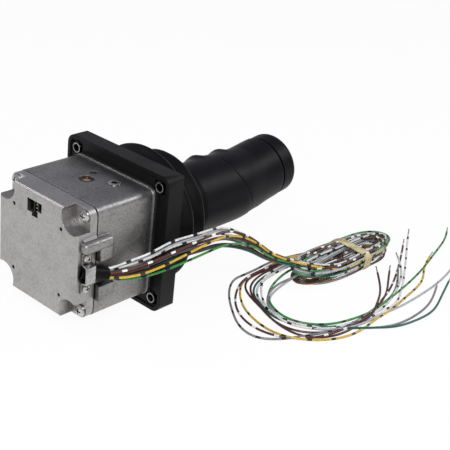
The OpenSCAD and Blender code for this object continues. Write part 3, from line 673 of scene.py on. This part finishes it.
# The rubber's outer and inner face: station along X, radius. The two pieces meet at the valley.
BASE_OUTER = [(15.1, 42.6), (16.2, 43.4), (19.5, 43.6), (22.2, 45.2), (24.6, 46.9), (26.2, 47.3),
              (27.6, 46.6), (29.6, 43.8), (32.0, 39.8), (34.2, 36.7), (VALLEY, 35.8)]
BASE_INNER = [(VALLEY, 34.2), (33.6, 35.4), (31.0, 38.6), (28.4, 42.6), (26.4, 44.6), (24.0, 43.6),
              (20.0, 41.8), (16.9, 41.2), (16.6, 36), (15.1, 35.0)]
NECK_OUTER = [(VALLEY, 35.8), (37.8, 36.4), (40.2, 37.6), (43.2, 38.9), (45.3, 39.2), (46.6, 38.4),
              (48.0, 35.6), (49.6, 31.0), (51.0, 25.0), (52.2, 17.5), (53.2, 11.2), (54.2, 8.5),
              (NECK_END, 8.05)]
NECK_INNER = [(NECK_END, 6.1), (52.6, 6.2), (50.2, 16.0), (49.0, 24.0), (47.6, 30.0), (46.0, 35.4),
              (44.2, 37.0), (41.0, 36.0), (38.4, 34.6), (VALLEY, 34.2)]


def smooth_profile(points):
    curve = spline([(x, r, 0) for x, r in points], 0.5)
    return [(point.x, point.y) for point in relax(curve, 3)]


def rubber_point(x, r, angle):
    """A point of the rubber at station x and radius r, a little uneven and clear of the floor."""
    cos, sin = math.cos(angle), math.sin(angle)
    uneven = 0.35 * noise.noise(Vector((cos * 2.2, sin * 2.2, x * 0.06)))
    uneven += 0.10 * noise.noise(Vector((cos * 9, sin * 9, x * 0.2)))
    return x + 0.5 * uneven, (r + uneven) * cos, max((r + uneven) * sin, FLOOR + 0.15)


def make_bellows(name, node, outer, inner):
    """One piece of the bellows, turned round X from its profile and shown in place of the CAD piece."""
    profile = smooth_profile(outer) + smooth_profile(inner)
    angles = [2 * math.pi * k / BELLOWS_SIDES for k in range(BELLOWS_SIDES)]
    verts = [rubber_point(x, r, angle) for x, r in profile for angle in angles]
    faces = ring_faces(len(profile), BELLOWS_SIDES, flipped=True)
    piece = new_object(name, mesh_from(name, verts, faces))
    piece.data.materials.append(M_RUBBER)
    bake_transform(piece)
    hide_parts(node)


make_bellows("bellows_base_fold", "bellows_lower", BASE_OUTER, BASE_INNER)
make_bellows("bellows_neck_fold", "bellows_upper", NECK_OUTER, NECK_INNER)

# ---------------------------------------------------------------- grip
GRIP_SIDES = 160
GRIP_R = 25.5
FOOT_ROUND = 6
SEAM_MID = 108.5
SEAM_SLOPE = math.tan(math.radians(25))
LEAN_X = 128.0
LEAN = math.radians(8)
LEAN_OVER = 8                # how far before and after LEAN_X the grip starts and ends its lean
HEAD_END = 150.0
FINGERS = math.radians(8)    # the fingers close round this side, from +Y up
RIDGE_REACH = 1.35           # how far round from there the ridges go, in radians
RIDGE_FADE = 0.6
TOP_SIDE = math.radians(53)  # the grip's sections move this way as it tapers
EDGE_DROP = 0.32             # the head stands this much lower than the palm at the seam

# Station along the grip: radius, and how far the section's middle lies off the axis towards TOP_SIDE.
SECTIONS = [(GRIP_FOOT, GRIP_R, -1.9), (108, GRIP_R, -1.9), (114, 25.0, -1.6), (120, 24.4, -1.2),
            (128, 24.0, -0.4), (136, 23.55, -0.05), (144, 23.5, 0.2), (151, 23.4, 0.2)]
# Station along the grip: how far the finger ridges stand out.
RIDGES = [(GRIP_FOOT, 0), (81, 0), (85.5, 1.5), (88.5, 3.1), (91.5, 1.9), (95, 0.4), (100, 0.2),
          (106, 0.5), (109.5, 1.6), (112.5, 2.7), (115.5, 1.4), (118.5, 0), (151, 0)]


def between(table, s):
    """The row of a table at s, on straight lines from row to row."""
    for (s0, *row0), (s1, *row1) in zip(table, table[1:]):
        if s <= s1:
            t = clamp((s - s0) / (s1 - s0))
            return [a + (b - a) * t for a, b in zip(row0, row1)]
    return list(table[-1][1:])


def averaged(table, s, reach):
    """The row at s, rounded off over reach to each side."""
    rows = [between(table, s + reach * k / 4) for k in range(-4, 5)]
    return [sum(column) / len(rows) for column in zip(*rows)]


def grip_section(s, angle):
    """The grip's radius at station s and this angle, and how far the section's middle is off the axis."""
    radius, off = averaged(SECTIONS, s, 5.0)
    ridge, = averaged(RIDGES, s, 1.0)
    away = abs((angle - FINGERS + math.pi) % (2 * math.pi) - math.pi)
    return radius + ridge * eased(clamp((RIDGE_REACH - away) / RIDGE_FADE)), off


def grip_point(s, angle, radius, off):
    """A point on the grip: station s, the angle from +Y up, and the radius."""
    y = radius * math.cos(angle) + off * math.cos(TOP_SIDE)
    z = radius * math.sin(angle) + off * math.sin(TOP_SIDE)
    tilt = LEAN * eased(clamp((s - LEAN_X + LEAN_OVER) / (2 * LEAN_OVER)))
    past = max(0, s - LEAN_X)
    mid_x = LEAN_X + past * math.cos(LEAN) if past else s
    mid_z = past * math.sin(LEAN)
    return mid_x - z * math.sin(tilt), y, mid_z + z * math.cos(tilt)


def seam_at(angle):
    """The station of the slanted joint between the palm and the head."""
    return SEAM_MID - 25.0 * math.sin(angle) * SEAM_SLOPE


def row(station, cut, scale=1.0):
    """A ring of the grip at one station, with its radius scaled and then cut."""
    return lambda angle: (station, scale, cut)


def seam_row(beyond, cut, scale=1.0):
    """A ring that follows the seam, so far beyond it."""
    return lambda angle: (seam_at(angle) + beyond, scale, cut)


def foot_row(share):
    """A ring of the foot's rounding: share runs from 0 at the foot to 1 at the full radius."""
    a = share * math.pi / 2
    return row(GRIP_FOOT + FOOT_ROUND * (1 - math.cos(a)), FOOT_ROUND * (1 - math.sin(a)) + 0.6 * (1 - share))


def palm_row(share):
    """A ring of the palm: share runs from 0 after the foot's rounding to 1 before the seam."""
    start = GRIP_FOOT + FOOT_ROUND
    return lambda angle: (start + (seam_at(angle) - 0.9 - start) * share, 1.0, 0.0)


def head_row(share):
    """A ring of the head: share runs from 0 after the seam to 1 before the head's end."""
    def ring(angle):
        start = seam_at(angle) + 1.2
        return start + (HEAD_END - 1.5 - start) * share, 1.0, EDGE_DROP * (1 - share) ** 2
    return ring


def make_grip_shell(name, node, rows):
    """rows are functions: the angle -> station, factor on the radius, cut off the radius."""
    verts = []
    for ring in rows:
        for k in range(GRIP_SIDES):
            angle = 2 * math.pi * k / GRIP_SIDES
            s, scale, cut = ring(angle)
            radius, off = grip_section(s, angle)
            verts.append(grip_point(s, angle, radius * scale - cut, off * scale))
    shell = new_object(name, mesh_from(name, verts, ring_faces(len(rows), GRIP_SIDES)))
    shell.data.materials.append(M_GRIP)
    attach(shell, "lever")
    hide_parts(node)


PALM_ROWS = [row(GRIP_FOOT, 0.0, 0.34)]
PALM_ROWS += [foot_row(k / 8) for k in range(9)]
PALM_ROWS += [palm_row(k / 90) for k in range(1, 91)]
PALM_ROWS += [seam_row(-0.35, 0.12), seam_row(-0.1, 0.4), seam_row(-0.1, 0.0, 0.7)]
HEAD_ROWS = [seam_row(0.1, 0.0, 0.7), seam_row(0.1, 0.75), seam_row(0.5, 0.42), seam_row(1.2, EDGE_DROP)]
HEAD_ROWS += [head_row(k / 60) for k in range(1, 61)]
HEAD_ROWS += [row(HEAD_END - 1.1, 0.25), row(HEAD_END - 0.9, 0.8), row(HEAD_END, 0.9)]
HEAD_ROWS += [row(HEAD_END, 0.0, 0.7)]
make_grip_shell("grip_palm_shell", "grip_sleeve", PALM_ROWS)
make_grip_shell("grip_head_shell", "grip_head", HEAD_ROWS)


# ---------------------------------------------------------------- the lug over the cable
def make_lug(name, low, high, radius):
    """A cast block with rounded edges, over the plain lug of the housing."""
    low, high = Vector(low), Vector(high)
    size, middle = high - low, (low + high) / 2
    bm = bmesh.new()
    bmesh.ops.create_cube(bm, size=1.0)
    for vert in bm.verts:
        vert.co = vert.co * size + middle
    bmesh.ops.bevel(bm, geom=bm.edges[:], offset=radius, segments=6, profile=0.5, affect="EDGES")
    for vert in bm.verts:
        vert.co *= MM
    mesh = bpy.data.meshes.new(name)
    bm.to_mesh(mesh)
    bm.free()
    mesh.polygons.foreach_set("use_smooth", [True] * len(mesh.polygons))
    lug = new_object(name, mesh)
    lug.data.materials.append(M_CAST)
    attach(lug, "base")


make_lug("cable_lug_bar", (-60.2, -42.0, 10.9), (-36.6, -34.5, 18.4), 2.6)
make_lug("cable_lug_leg", (-47.3, -41.6, 2.7), (-36.8, -34.5, 17.5), 1.8)

# ---------------------------------------------------------------- stage and light
FLOOR_FROM, FLOOR_TO = -3000, 3500
SEEN_WHITE = 0.94     # the rest of what the camera sees is the lit floor, which keeps the shadow
SKY_LOW = (0.50, 0.50, 0.50, 1)
SKY_HIGH = (0.33, 0.335, 0.38, 1)


def make_floor():
    """A white floor that the camera, reflections and clear parts see at almost full white."""
    m, nodes, links, surface = new_material("floor_white")
    surface.inputs["Base Color"].default_value = (0.86, 0.86, 0.86, 1)
    surface.inputs["Roughness"].default_value = 0.9
    rays = nodes.new("ShaderNodeLightPath")
    seen = rays.outputs["Is Camera Ray"]
    for kind in ("Is Transmission Ray", "Is Glossy Ray"):
        either = nodes.new("ShaderNodeMath")
        either.operation = "MAXIMUM"
        links.new(seen, either.inputs[0])
        links.new(rays.outputs[kind], either.inputs[1])
        seen = either.outputs[0]
    white = add(nodes, "ShaderNodeEmission", Color=(1, 1, 1, 1), Strength=1.0)
    mix = nodes.new("ShaderNodeMixShader")
    links.new(add_math(nodes, links, "MULTIPLY", seen, SEEN_WHITE), mix.inputs["Fac"])
    links.new(surface.outputs["BSDF"], mix.inputs[1])
    links.new(white.outputs["Emission"], mix.inputs[2])
    links.new(mix.outputs["Shader"], nodes["Material Output"].inputs["Surface"])
    low, high = FLOOR_FROM, FLOOR_TO
    around = [(low, low, FLOOR), (high, low, FLOOR), (high, high, FLOOR), (low, high, FLOOR)]
    floor = new_object("floor", mesh_from("floor", around, [(0, 1, 2, 3)], smooth=False))
    floor.data.materials.append(m)


def make_world():
    """A sky that is lighter at the horizon than overhead, and white to the camera."""
    world = bpy.data.worlds.new("world")
    scene.world = world
    world.use_nodes = True
    nodes, links = world.node_tree.nodes, world.node_tree.links
    direction = nodes.new("ShaderNodeSeparateXYZ")
    links.new(nodes.new("ShaderNodeTexCoord").outputs["Generated"], direction.inputs[0])
    height = nodes.new("ShaderNodeMapRange")
    height.inputs["From Min"].default_value = -1
    links.new(direction.outputs["Z"], height.inputs["Value"])
    sky = nodes.new("ShaderNodeValToRGB")
    for element, position, color in zip(sky.color_ramp.elements, (0.5, 0.75), (SKY_LOW, SKY_HIGH)):
        element.position = position
        element.color = color
    links.new(height.outputs["Result"], sky.inputs["Fac"])
    mix = nodes.new("ShaderNodeMix")
    mix.data_type = "RGBA"
    links.new(nodes.new("ShaderNodeLightPath").outputs["Is Camera Ray"], mix.inputs["Factor"])
    links.new(sky.outputs["Color"], mix.inputs[MIX_A])
    mix.inputs[MIX_B].default_value = (1, 1, 1, 1)
    links.new(mix.outputs[MIX_RESULT], nodes["Background"].inputs["Color"])
    nodes["Background"].inputs["Strength"].default_value = 1.0


def make_lamp(name, at, target, size, power):
    """A square lamp of size metres and power watts, turned to its target."""
    light = bpy.data.lights.new(name, "AREA")
    light.shape = "RECTANGLE"
    light.size = size
    light.size_y = size
    light.energy = power
    lamp = new_object(name, light)
    lamp.location = at
    lamp.rotation_euler = (Vector(target) - Vector(at)).to_track_quat("-Z", "Y").to_euler()


make_floor()
make_world()
make_lamp("key", (-0.75, -0.75, 0.95), (0.03, -0.03, 0), 0.6, 15)
make_lamp("edge_side", (0.95, -0.55, 0.78), (0, 0, 0), 0.45, 4.5)
make_lamp("edge_top", (-0.50, 0.66, 0.85), (0, 0, 0), 0.45, 2.5)
